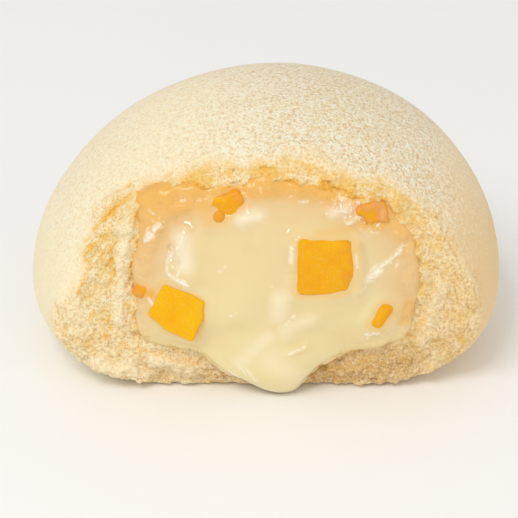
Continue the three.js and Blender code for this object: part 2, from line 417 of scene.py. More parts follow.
def tear_place(point):
    """Where a point lies on the torn face: 1 is the lip, measured from the dome's waist, and its angle."""
    share = math.sqrt(1 - (TEAR_DEPTH / WAIST_RADIUS) ** 2)
    x, z = point.x / MM, point.z / MM
    rise = DOME_HEIGHT - WAIST_HEIGHT if z > WAIST_HEIGHT else LOWER_DEPTH
    across = (x - CROWN_SHIFT * (z / DOME_HEIGHT) ** 2) / (WAIST_RADIUS * share)
    up = (z - WAIST_HEIGHT) / (rise * share)
    return math.hypot(across, up), math.atan2(across, up)


def model_dome():
    """The cake's outside: a ball pressed into a dome, drawn to one side at its crown, cut flat and torn."""
    deselect()
    bpy.ops.mesh.primitive_uv_sphere_add(
        segments=96, ring_count=48, radius=WAIST_RADIUS * MM, location=(0, 0, WAIST_HEIGHT * MM)
    )
    cake = settle("sponge_crumb")
    waist = (0, 0, WAIST_HEIGHT * MM)
    edit(cake)
    pick(cake, "VERT", lambda v: v.co.z > WAIST_HEIGHT * MM)
    upper = (DOME_HEIGHT - WAIST_HEIGHT) / WAIST_RADIUS
    bpy.ops.transform.resize(value=(1, 1, upper), center_override=waist)
    pick(cake, "VERT", lambda v: v.co.z < WAIST_HEIGHT * MM)
    bpy.ops.transform.resize(value=(1, 1, LOWER_DEPTH / WAIST_RADIUS), center_override=waist)
    pick(cake, "VERT", lambda v: v.co.z > (DOME_HEIGHT - 0.05) * MM)
    bpy.ops.transform.translate(
        value=(CROWN_SHIFT * MM, 0, 0),
        use_proportional_edit=True,
        proportional_edit_falloff="SMOOTH",
        proportional_size=60 * MM,
    )
    bpy.ops.mesh.select_all(action="SELECT")
    bpy.ops.mesh.bisect(plane_co=(0, 0, 0), plane_no=(0, 0, 1), clear_inner=True, use_fill=True)
    bpy.ops.mesh.select_all(action="SELECT")
    bpy.ops.mesh.bisect(
        plane_co=(0, -TEAR_DEPTH * MM, 0), plane_no=(0, 1, 0), clear_inner=True, use_fill=True
    )
    finish_editing()
    return cake


def extrude_sections(piece, sections):
    """In edit mode, carries the selected face through sections: each a move, a size and its middle."""
    for move, size, middle in sections:
        bpy.ops.mesh.extrude_region_move(TRANSFORM_OT_translate={"value": move})
        bpy.ops.transform.resize(value=size, center_override=middle)


def model_custard_mass():
    """The filling's own mass: an outline drawn out at its corners and carried back through the cake."""
    deselect()
    x, z = (v * MM for v in CUSTARD_MIDDLE)
    front, size = CUSTARD_SECTIONS[0]
    bpy.ops.mesh.primitive_circle_add(
        vertices=64, radius=1, fill_type="NGON", location=(x, front * MM, z), rotation=(math.pi / 2, 0, 0)
    )
    bpy.context.object.scale = (CUSTARD_HALF[0] * MM, CUSTARD_HALF[1] * MM, 1)
    mass = settle("custard_filling")
    edit(mass)
    for (at_x, at_z), (out_x, out_z) in CUSTARD_CORNERS:
        corner = Vector((at_x * MM, front * MM, at_z * MM))
        outline = [vertex.co.copy() for vertex in bmesh.from_edit_mesh(mass.data).verts]
        nearest = min(outline, key=lambda co: (co - corner).length)
        pick(mass, "VERT", lambda v: (v.co - nearest).length < 1e-6)
        bpy.ops.transform.translate(
            value=(out_x * MM, 0, out_z * MM),
            use_proportional_edit=True,
            proportional_edit_falloff="SMOOTH",
            proportional_size=10 * MM,
        )
    pick(mass, "FACE", lambda f: True)
    bpy.ops.transform.resize(value=(size, 1, size), center_override=(x, front * MM, z))
    pick(mass, "FACE", lambda f: True)
    steps = []
    for (y0, size0), (y1, size1) in zip(CUSTARD_SECTIONS, CUSTARD_SECTIONS[1:]):
        steps.append(((0, (y1 - y0) * MM, 0), (size1 / size0, 1, size1 / size0), (x, y1 * MM, z)))
    extrude_sections(mass, steps)
    pick(mass, "VERT", lambda v: v.co.y < -15 * MM)
    hinge = (x, CUSTARD_HINGE * MM, z)
    bpy.ops.transform.rotate(value=math.radians(CUSTARD_LEAN), orient_axis="X", center_override=hinge)
    finish_editing()
    return mass


def model_tongue():
    """The tongue of custard that runs over the lower lip and stands on the base's level."""
    deselect()
    height, x, y, half_width, half_depth = TONGUE_SECTIONS[0]
    bpy.ops.mesh.primitive_circle_add(
        vertices=32, radius=1, fill_type="NGON", location=(x * MM, y * MM, height * MM)
    )
    bpy.context.object.scale = (half_width * MM, half_depth * MM, 1)
    tongue = settle("custard_tongue")
    edit(tongue)
    pick(tongue, "FACE", lambda f: True)
    steps = []
    for above, below in zip(TONGUE_SECTIONS, TONGUE_SECTIONS[1:]):
        move = [(below[1] - above[1]) * MM, (below[2] - above[2]) * MM, (below[0] - above[0]) * MM]
        middle = (below[1] * MM, below[2] * MM, below[0] * MM)
        steps.append((move, (below[3] / above[3], below[4] / above[4], 1), middle))
    extrude_sections(tongue, steps)
    finish_editing()
    return tongue


def join(piece, *others):
    """Makes others part of piece."""
    deselect()
    for other in others:
        other.select_set(True)
    piece.select_set(True)
    bpy.context.view_layer.objects.active = piece
    bpy.ops.object.join()


def copy_of(piece, name):
    """A copy of a piece with its own mesh."""
    twin = piece.copy()
    twin.data = piece.data.copy()
    twin.name = name
    bpy.context.scene.collection.objects.link(twin)
    return twin


def model_custard():
    """The custard: its mass and its tongue run together, before its front is folded."""
    custard = model_custard_mass()
    join(custard, model_tongue())
    modify(custard, "REMESH", mode="VOXEL", voxel_size=CUSTARD_VOXEL * MM)
    modify(custard, "SMOOTH", factor=0.5, iterations=8)
    weigh(custard, "margin", lambda v: smooth(v.co.y, -19.6 * MM, -18.6 * MM) * (v.co.z > 6 * MM))
    ragged = pattern("ragged margin", "CLOUDS", noise_scale=2.6 * MM, noise_depth=1)
    modify(custard, "DISPLACE", texture=ragged, texture_coords="GLOBAL",
           strength=1.2 * MM, mid_level=0.5, vertex_group="margin")
    return custard


def fold_custard(custard):
    """Gives the custard's front its folds and slumps."""
    edit(custard)
    pick(custard, "FACE", lambda f: f.normal.y < -0.2 and f.calc_center_median().y < -14 * MM)
    bpy.ops.mesh.subdivide(number_cuts=2, smoothness=1)
    finish_editing()
    front = [smooth(vertex.co.y, -14 * MM, -17 * MM) for vertex in custard.data.vertices]
    weigh(custard, "front", lambda v: front[v.index])
    raised = [fold for fold in FOLDS if fold[4] > 0]
    sunk = [(*fold[:4], -fold[4]) for fold in FOLDS if fold[4] < 0]
    weigh(custard, "raised", lambda v: front[v.index] * stroke_sum(v.co, raised))
    weigh(custard, "sunk", lambda v: front[v.index] * stroke_sum(v.co, sunk))
    slumps = pattern("custard slumps", "CLOUDS", noise_scale=8 * MM, noise_depth=1)
    modify(custard, "DISPLACE", direction="Y", strength=-2 * MM, mid_level=0, vertex_group="raised")
    modify(custard, "DISPLACE", direction="Y", strength=2 * MM, mid_level=0, vertex_group="sunk")
    modify(custard, "DISPLACE", texture=slumps, texture_coords="GLOBAL",
           strength=0.9 * MM, mid_level=0.5, vertex_group="front")
    modify(custard, "SMOOTH", factor=0.5, iterations=2)


def surface_tree(piece):
    """A piece's surface, to measure how far points are from it."""
    return BVHTree.FromObject(piece, bpy.context.evaluated_depsgraph_get())


def nearest_gap(point, trees):
    """How far a point is from the nearest of several surfaces."""
    return min(tree.find_nearest(point)[3] for tree in trees)


def on_front(tree, x, z):
    """The point of a surface's front at X, Z."""
    return tree.ray_cast(Vector((x * MM, -40 * MM, z * MM)), Vector((0, 1, 0)))[0]


def stroke_share(point, start, end, width, edge):
    """How deep in a stroke a point lies: 0 outside its width, and 1 inside its soft edge."""
    place = Vector((point.x / MM, point.z / MM))
    start, end = Vector(start), Vector(end)
    along = end - start
    share = min(1, max(0, (place - start).dot(along) / along.length_squared))
    return smooth((place - start - share * along).length, width, width - edge)


def stroke_sum(point, strokes):
    """How far strokes lift a point, all together, as a share of 2 mm."""
    return min(1, sum(stroke_share(point, *stroke) * lift / 2 for *stroke, lift in strokes))


def strongest(point, strokes):
    """How much the stroke that tells most at a point does there."""
    return max(stroke_share(point, *stroke) * much for *stroke, much in strokes)


def lay_grain(piece):
    """A UV map that runs round the tear, so that a pattern on it is drawn out along the torn strands."""
    layer = piece.data.uv_layers.new(name="tear grain")
    for loop in piece.data.loops:
        radius, angle = tear_place(piece.data.vertices[loop.vertex_index].co)
        along, across = angle * GRAIN_RADIUS / STRAND_LENGTH, radius * GRAIN_RADIUS / STRAND_WIDTH
        layer.data[loop.index].uv = (along, across)


def torn_share(vertex):
    """1 on the torn face, fading out raggedly over its rounded lip."""
    radius, angle = tear_place(vertex.co)
    # The skin comes further over the lip on the left, and less far just above that.
    edge = 1.03 + 0.04 * noise.noise((angle * 4, 0, 0)) + 0.02 * noise.noise((angle * 17, 0, 0))
    edge -= 0.07 * smooth(angle, -1.5, -1.3) * smooth(angle, -1, -1.2)
    edge += 0.05 * smooth(angle, -1, -0.85) * smooth(angle, -0.5, -0.65)
    return smooth(vertex.co.y, -13 * MM, -14.6 * MM) * smooth(radius, edge + 0.03, edge - 0.04)


def shows_crumb(face):
    """Whether a face is on the torn face or its lip, and not on the custard bed's hidden walls."""
    middle = face.calc_center_median()
    radius = tear_place(middle)[0]
    return radius < 1.12 and middle.y < (-14 if radius > LIP_START else -16.5) * MM


def grained_share(vertex):
    """How open the skin's grain is: tight low and on the left, open over the crown, smooth on the right."""
    x, z = vertex.co.x / MM, vertex.co.z / MM
    left, right = smooth(x, -18, 6), smooth(x, 24, 33)
    return (0.4 + 0.6 * left) * (1 - 0.75 * right) * (0.35 + 0.65 * smooth(z, 12, 28))


def model_sponge(custard):
    """The sponge: the torn dome with the custard's bed cut out, a rounded lip and its crumb pulled apart."""
    cake = model_dome()
    bed = copy_of(custard, "custard_bed")
    modify(bed, "DISPLACE", strength=-1 * MM, mid_level=0)
    modify(bed, "REMESH", mode="VOXEL", voxel_size=SPONGE_VOXEL * MM)
    modify(cake, "BOOLEAN", operation="DIFFERENCE", object=bed, solver="EXACT")
    bpy.data.objects.remove(bed)
    modify(cake, "REMESH", mode="VOXEL", voxel_size=SPONGE_VOXEL * MM)
    modify(cake, "SMOOTH", factor=0.5, iterations=2)
    out = [tear_place(vertex.co)[0] for vertex in cake.data.vertices]
    weigh(
        cake,
        "lip",
        lambda v: smooth(out[v.index], 0.93, 0.98) * smooth(out[v.index], 1.2, 1.1) * (v.co.y < -11 * MM),
    )
    modify(cake, "SMOOTH", factor=0.5, iterations=20, vertex_group="lip")
    edit(cake)
    pick(cake, "FACE", shows_crumb)
    bpy.ops.mesh.subdivide(number_cuts=3)
    finish_editing()
    lay_grain(cake)
    weigh(cake, "all over", lambda v: 1 if v.co.z > 2 * MM else v.co.z / (2 * MM))
    weigh(cake, "ridges", lambda v: torn_share(v) * stroke_sum(v.co, RIDGES))
    modify(cake, "DISPLACE", direction="Y", strength=-2 * MM, mid_level=0, vertex_group="ridges")
    tree = surface_tree(custard)
    gap = [tree.find_nearest(vertex.co)[3] for vertex in cake.data.vertices]
    tear = [torn_share(vertex) * smooth(vertex.co.z, 0.1 * MM, 0.9 * MM) for vertex in cake.data.vertices]
    weigh(cake, "tear", lambda v: tear[v.index])
    weigh(cake, "rim", lambda v: tear[v.index] * smooth(gap[v.index], 2.4 * MM, 0.7 * MM))
    weigh(cake, "low lumps", lambda v: tear[v.index] * smooth(v.co.z, 6 * MM, 2.5 * MM))
    lumps = pattern("rim lumps", "CLOUDS", noise_scale=1.9 * MM, noise_depth=1)
    modify(cake, "DISPLACE", texture=lumps, texture_coords="GLOBAL", direction="Y",
           strength=-1.4 * MM, mid_level=0.4, vertex_group="rim")
    modify(cake, "DISPLACE", texture=lumps, texture_coords="GLOBAL", direction="Y",
           strength=-2.2 * MM, mid_level=0.42, vertex_group="low lumps")
    before = [vertex.co.copy() for vertex in cake.data.vertices]
    strands = pattern("torn strands", "CLOUDS", noise_scale=1, noise_depth=1)
    crags = pattern("torn crags", "CLOUDS", noise_scale=2.2 * MM, noise_depth=2)
    grains = pattern("crumb grains", "CLOUDS", noise_scale=0.6 * MM, noise_depth=1)
    bloat = pattern("risen unevenly", "CLOUDS", noise_scale=17 * MM, noise_depth=0)
    modify(cake, "DISPLACE", texture=strands, texture_coords="UV", uv_layer="tear grain",
           strength=0.6 * MM, mid_level=0.5, vertex_group="tear")
    modify(cake, "DISPLACE", texture=crags, texture_coords="GLOBAL",
           strength=0.8 * MM, mid_level=0.5, vertex_group="tear")
    modify(cake, "DISPLACE", texture=grains, texture_coords="GLOBAL",
           strength=0.55 * MM, mid_level=0.5, vertex_group="tear")
    depth = [
        (old - vertex.co).length if vertex.co.y > old.y else 0
        for old, vertex in zip(before, cake.data.vertices)
    ]
    record(cake, "hollow", lambda v: min(1, depth[v.index] / (0.9 * MM)))
    modify(cake, "DISPLACE", texture=bloat, texture_coords="GLOBAL",
           strength=0.7 * MM, mid_level=0.5, vertex_group="all over")
    record(cake, "torn", torn_share)
    record(cake, "fluffy", lambda v: stroke_sum(v.co, RIDGES))
    # Where painted shade darkens the crumb low down.
    record(cake, "low_shade", lambda v: strongest(v.co, PAINTED_LOW_SHADE))
    record(cake, "grained", grained_share)
    reach = [(1.6 + 2.6 * smooth(v.co.z, 24 * MM, 34 * MM)) * MM for v in cake.data.vertices]
    record(
        cake,
        "soaked",
        lambda v: smooth(gap[v.index], reach[v.index], 0.2 * MM) * smooth(v.co.z, 2 * MM, 36 * MM) ** 0.5,
    )
    record(cake, "juice", lambda v: strongest(v.co, JUICE) * (v.co.y < 0))
    return cake


def draw_out(die, side, move, reach):
    """Moves the part of a die that is furthest to one side, and draws what lies within reach of it along."""
    edit(die)
    mesh = bmesh.from_edit_mesh(die.data)
    side = Vector(side)
    middle = sum((v.co for v in mesh.verts), Vector()) / len(mesh.verts)
    furthest = max((v.co - middle).dot(side) for v in mesh.verts)
    pick(die, "VERT", lambda v: (v.co - middle).dot(side) > furthest - 0.5 * MM)
    bpy.ops.transform.translate(
        value=[step * MM for step in move],
        use_proportional_edit=True,
        proportional_edit_falloff="SMOOTH",
        proportional_size=reach * MM,
    )
    finish_editing()


def model_fruit(custard):
    """The dice: cubes with worn edges and slightly swollen, uneven sides, set into the custard's front."""
    swelling = pattern("fruit swelling", "CLOUDS", noise_scale=2.2 * MM, noise_depth=1)
    tree = surface_tree(custard)
    dice = {}
    for name, (size, (x, z), turn, proud, rounding, unevenness, film) in FRUIT.items():
        deselect()
        bpy.ops.mesh.primitive_cube_add(size=1)
        piece = bpy.context.object
        piece.scale = [side * MM for side in size]
        bpy.ops.object.transform_apply(location=False, rotation=False, scale=True)
        edit(piece)
        bpy.ops.mesh.select_all(action="SELECT")
        bpy.ops.mesh.bevel(offset=rounding * MM, segments=4, profile=0.5)
        bpy.ops.mesh.select_all(action="SELECT")
        bpy.ops.mesh.subdivide(number_cuts=8)
        finish_editing()
        piece.rotation_euler = [math.radians(angle) for angle in turn]
        piece.location = on_front(tree, x, z) + Vector((0, (size[1] / 2 - proud) * MM, 0))
        dice[name] = settle(name + "_flesh")
        modify(piece, "DISPLACE", texture=swelling, texture_coords="GLOBAL",
               strength=unevenness * MM, mid_level=0.5)
        for corner in DRAWN_CORNERS.get(name, []):
            draw_out(piece, *corner)
        right = x + size[0] / 2
        veil = VEILED_SIDE.get(name, 0.4)
        record(
            piece,
            "filmed",
            lambda v: max(
                film
                * (1 + noise.noise(v.co / (1.3 * MM)))
                * (1 + veil * smooth(v.co.x / MM, right - size[0] * 0.4, right)),
                smooth(tree.find_nearest(v.co)[3], 0.5 * MM, 0),
            ),
        )
        bpy.ops.object.shade_smooth()
    x, z, radius = JUICE_BEAD
    deselect()
    bpy.ops.mesh.primitive_uv_sphere_add(
        segments=24, ring_count=16, radius=radius * MM, location=on_front(tree, x, z), scale=(1, 0.7, 1)
    )
    bead = settle("juice_bead")
    record(bead, "filmed", lambda v: 0.35)
    bpy.ops.object.shade_smooth()
    join(dice["fruit_chunk_top_left"], bead)
    return dice


def mark_custard(custard, dice, sponge):
    """Marks where fruit and wet crumb colour the custard, and draws it up where it clings to them."""
    fruit = [surface_tree(piece) for piece in dice.values()]
    crumb = surface_tree(sponge)
    vertices = custard.data.vertices
    gap = [crumb.find_nearest(v.co)[3] for v in vertices]
    near = [nearest_gap(v.co, fruit) if v.co.y < -14 * MM else 9 * MM for v in vertices]
    record(custard, "near_fruit", lambda v: smooth(near[v.index], 1.3 * MM, 0))
    record(custard, "open", lambda v: smooth(min(near[v.index], gap[v.index]), 0.2 * MM, 1.8 * MM))
    # Painted sheen and painted glints are marked here with the rest.
    marks = {"glowing": GLOWS, "wrinkled": WRINKLES, "painted_sheen": PAINTED_SHEEN, "painted_glints": PAINTED_GLINTS}
    for name, strokes in marks.items():
        record(custard, name, lambda v: strongest(v.co, strokes))
    record(custard, "film", lambda v: smooth(gap[v.index], 6 * MM, 0.6 * MM))
    record(custard, "wet_edge", lambda v: smooth(gap[v.index], 2.6 * MM, 0.2 * MM))
    weigh(
        custard,
        "clinging",
        lambda v: smooth(v.co.y, -15 * MM, -17 * MM)
        * smooth(v.co.z, 0.6 * MM, 3 * MM)
        * max(0.7 * smooth(near[v.index], 2.4 * MM, 0), smooth(gap[v.index], 1.4 * MM, 0.2 * MM)),
    )
    modify(custard, "DISPLACE", strength=0.5 * MM, mid_level=0, vertex_group="clinging")


def start_material(name):
    """A new material, its tree, its shader, and the place of a point in the piece's own coordinates."""
    made = bpy.data.materials.new(name)
    made.use_nodes = True
    tree = made.node_tree
    place = add_node(tree, "ShaderNodeTexCoord").outputs["Object"]
    return made, tree, tree.nodes["Principled BSDF"], place


def sponge_material():
    """Steamed sponge: a matt, pale skin set with fine pores, and where it is torn a whiter open crumb, which
    is amber where custard and juice have soaked in; painted shade darkens skin and crumb to the right and low
    down."""
    made, tree, surface, place = start_material("steamed sponge")
    along = add_node(tree, "ShaderNodeSeparateXYZ", {"Vector": place})
    across, up = along.outputs["X"], along.outputs["Z"]
    torn, hollow, fluffy, low_shade, soaked, juice, grained = [
        add_node(tree, "ShaderNodeAttribute", attribute_name=name).outputs["Fac"]
        for name in ("torn", "hollow", "fluffy", "low_shade", "soaked", "juice", "grained")
    ]

    # The skin: broad paler and more tan patches, and painted shade that makes it more tan to the right and low
    # down there, set with grains 0.4 mm across that have tan gaps between them, deeper holes and pale tops.
    # Painted shade: the skin more tan to the right, most of all low down.
    side = add_node(
        tree, "ShaderNodeMapRange", {"Value": across, "From Min": -25 * MM, "From Max": 25 * MM}
    ).outputs["Result"]
    low = add_node(
        tree, "ShaderNodeMapRange",
        {"Value": up, "From Min": 36 * MM, "From Max": 18 * MM, "To Min": 0.2, "To Max": 1},
    ).outputs["Result"]
    side = add_node(tree, "ShaderNodeMath", {0: side, 1: low}, operation="MULTIPLY").outputs[0]
    patches = add_node(
        tree, "ShaderNodeTexNoise", {"Vector": place, "Scale": 60, "Detail": 3}
    ).outputs["Fac"]
    tan = add_node(tree, "ShaderNodeMath", {0: patches, 1: 0.9, 2: side}, operation="MULTIPLY_ADD").outputs[0]
    tan = add_node(
        tree, "ShaderNodeMapRange", {"Value": tan, "From Min": 0.5, "From Max": 1.3}
    ).outputs["Result"]
    skin = add_node(
        tree, "ShaderNodeMix", {0: tan, 6: linear(SKIN_PALE), 7: linear(SKIN_TAN)}, data_type="RGBA"
    ).outputs[2]
    grains = add_node(tree, "ShaderNodeTexVoronoi", {"Vector": place, "Scale": 2500}).outputs["Distance"]
    pores = add_node(
        tree, "ShaderNodeTexNoise", {"Vector": place, "Scale": 1500, "Detail": 3, "Roughness": 0.7}
    ).outputs["Fac"]
    relief = add_node(
        tree, "ShaderNodeMath", {0: grains, 1: -0.45, 2: pores}, operation="MULTIPLY_ADD"
    ).outputs[0]
    # These tints are partly the skin's own tone, partly painted shade in its gaps and holes and painted
    # highlight on its tops.
    tints = ((PORE, 0.26, 0.12, 1), (PORE_DEEP, 0.13, 0.03, 0.6), (SKIN_RIDGE, 0.26, 0.38, 1))
    for colour, start, full, most in tints:
        tint = add_node(
            tree, "ShaderNodeMapRange", {"Value": relief, "From Min": start, "From Max": full, "To Max": most}
        ).outputs["Result"]
        tint = add_node(tree, "ShaderNodeMath", {0: tint, 1: grained}, operation="MULTIPLY").outputs[0]
        skin = add_node(
            tree, "ShaderNodeMix", {0: tint, 6: skin, 7: linear(colour)}, data_type="RGBA"
        ).outputs[2]

    # The crumb: white on its ridges and creamy between, with painted shade in the floors of its cells 0.4 mm
    # apart, painted shade towards the right, and painted shade low down.
    cells = add_node(
        tree, "ShaderNodeTexNoise", {"Vector": place, "Scale": 2500, "Detail": 3, "Roughness": 0.7}
    ).outputs["Fac"]
    mottle = add_node(tree, "ShaderNodeTexNoise", {"Vector": place, "Scale": 420, "Detail": 2}).outputs["Fac"]
    dip = add_node(
        tree, "ShaderNodeMath", {0: hollow, 1: 0.6, 2: mottle}, operation="MULTIPLY_ADD"
    ).outputs[0]
    dip = add_node(
        tree, "ShaderNodeMapRange", {"Value": dip, "From Min": 0.36, "From Max": 0.86}
    ).outputs["Result"]
    crumb = add_node(
        tree, "ShaderNodeMix", {0: dip, 6: linear(CRUMB_WHITE), 7: linear(CRUMB_CREAM)}, data_type="RGBA"
    ).outputs[2]
    fluffy = add_node(tree, "ShaderNodeMapRange", {"Value": fluffy, "From Max": 0.35}).outputs["Result"]
    crumb = add_node(
        tree, "ShaderNodeMix", {0: fluffy, 6: crumb, 7: linear(CRUMB_WHITE)}, data_type="RGBA"
    ).outputs[2]
    closed = add_node(
        tree, "ShaderNodeMath", {0: fluffy, 1: -0.5, 2: 1}, operation="MULTIPLY_ADD"
    ).outputs[0]
    cell_floor = add_node(
        tree, "ShaderNodeMapRange", {"Value": cells, "From Min": 0.51, "From Max": 0.38, "To Max": 0.85}
    ).outputs["Result"]
    cell_floor = add_node(tree, "ShaderNodeMath", {0: cell_floor, 1: closed}, operation="MULTIPLY").outputs[0]
    crumb = add_node(
        tree, "ShaderNodeMix", {0: cell_floor, 6: crumb, 7: linear(CRUMB_SHADE)}, data_type="RGBA"
    ).outputs[2]
    # Painted shade: the crumb darker towards the right.
    shade_to_right = add_node(tree, "ShaderNodeMath", {0: side, 1: 0.2}, operation="MULTIPLY").outputs[0]
    crumb = add_node(
        tree, "ShaderNodeMix", {0: shade_to_right, 6: crumb, 7: linear(CRUMB_SHADE)}, data_type="RGBA"
    ).outputs[2]
    # Painted shade low down on the crumb, broken up by its cells.
    patchy = add_node(
        tree, "ShaderNodeMapRange",
        {"Value": cells, "From Min": 0.4, "From Max": 0.58, "To Min": 1.5, "To Max": 0.5},
    ).outputs["Result"]
    low_shade = add_node(tree, "ShaderNodeMath", {0: low_shade, 1: patchy}, operation="MULTIPLY").outputs[0]
    crumb = add_node(
        tree, "ShaderNodeMix", {0: low_shade, 6: crumb, 7: linear(CRUMB_LOW_SHADE)}, data_type="RGBA"
    ).outputs[2]

    # Juice: it lies in streaks between the torn strands, fills the crumb's cells from their floors up, and
    # has soaked in unevenly round the custard.
    grain = add_node(tree, "ShaderNodeUVMap", uv_map="tear grain").outputs["UV"]
    streaks = add_node(
        tree, "ShaderNodeTexNoise", {"Vector": grain, "Scale": 1.6, "Detail": 3, "Distortion": 0.3}
    ).outputs["Fac"]
    streaks = add_node(
        tree, "ShaderNodeMapRange", {"Value": streaks, "From Min": 0.4, "From Max": 0.56}
    ).outputs["Result"]
    juice = add_node(tree, "ShaderNodeMath", {0: juice, 1: streaks}, operation="MULTIPLY").outputs[0]
    thirsty = add_node(
        tree, "ShaderNodeMapRange",
        {"Value": mottle, "From Min": 0.4, "From Max": 0.6, "To Min": 0.45, "To Max": 1.15},
    ).outputs["Result"]
    soaked = add_node(tree, "ShaderNodeMath", {0: soaked, 1: thirsty}, operation="MULTIPLY").outputs[0]
    juice = add_node(tree, "ShaderNodeMath", {0: soaked, 1: juice}, operation="MAXIMUM").outputs[0]
    level = add_node(
        tree, "ShaderNodeMath", {0: cells, 1: -1.6, 2: juice}, operation="MULTIPLY_ADD"
    ).outputs[0]
    wet = add_node(
        tree, "ShaderNodeMapRange", {"Value": level, "From Min": -0.6, "From Max": 0.3}
    ).outputs["Result"]
    deep = add_node(
        tree, "ShaderNodeMapRange", {"Value": level, "From Min": 0.1, "From Max": 0.5}
    ).outputs["Result"]
    amber = add_node(
        tree, "ShaderNodeMix", {0: deep, 6: linear(AMBER), 7: linear(AMBER_DEEP)}, data_type="RGBA"
    ).outputs[2]
    crumb = add_node(tree, "ShaderNodeMix", {0: wet, 6: crumb, 7: amber}, data_type="RGBA").outputs[2]

    # Together, with the skin's grain or the crumb's cells in relief. Light sinks further into the skin.
    colour = add_node(tree, "ShaderNodeMix", {0: torn, 6: skin, 7: crumb}, data_type="RGBA").outputs[2]
    tree.links.new(colour, surface.inputs["Base Color"])
    height = add_node(
        tree, "ShaderNodeMix", {0: torn, 2: relief, 3: cells}, data_type="FLOAT"
    ).outputs[0]
    depth = add_node(
        tree, "ShaderNodeMix", {0: torn, 2: grained, 3: 0.5}, data_type="FLOAT"
    ).outputs[0]
    bump = add_node(tree, "ShaderNodeBump", {"Height": height, "Strength": depth, "Distance": 0.42 * MM})
    tree.links.new(bump.outputs["Normal"], surface.inputs["Normal"])
    soft = add_node(
        tree, "ShaderNodeMapRange", {"Value": torn, "To Min": 0.3, "To Max": 0.06}
    ).outputs["Result"]
    tree.links.new(soft, surface.inputs["Subsurface Weight"])
    surface.inputs["Roughness"].default_value = 0.88
    surface.inputs["IOR"].default_value = 1.4
    surface.inputs["Subsurface Radius"].default_value = (1.0, 0.7, 0.4)
    surface.inputs["Subsurface Scale"].default_value = 0.9 * MM
    return made


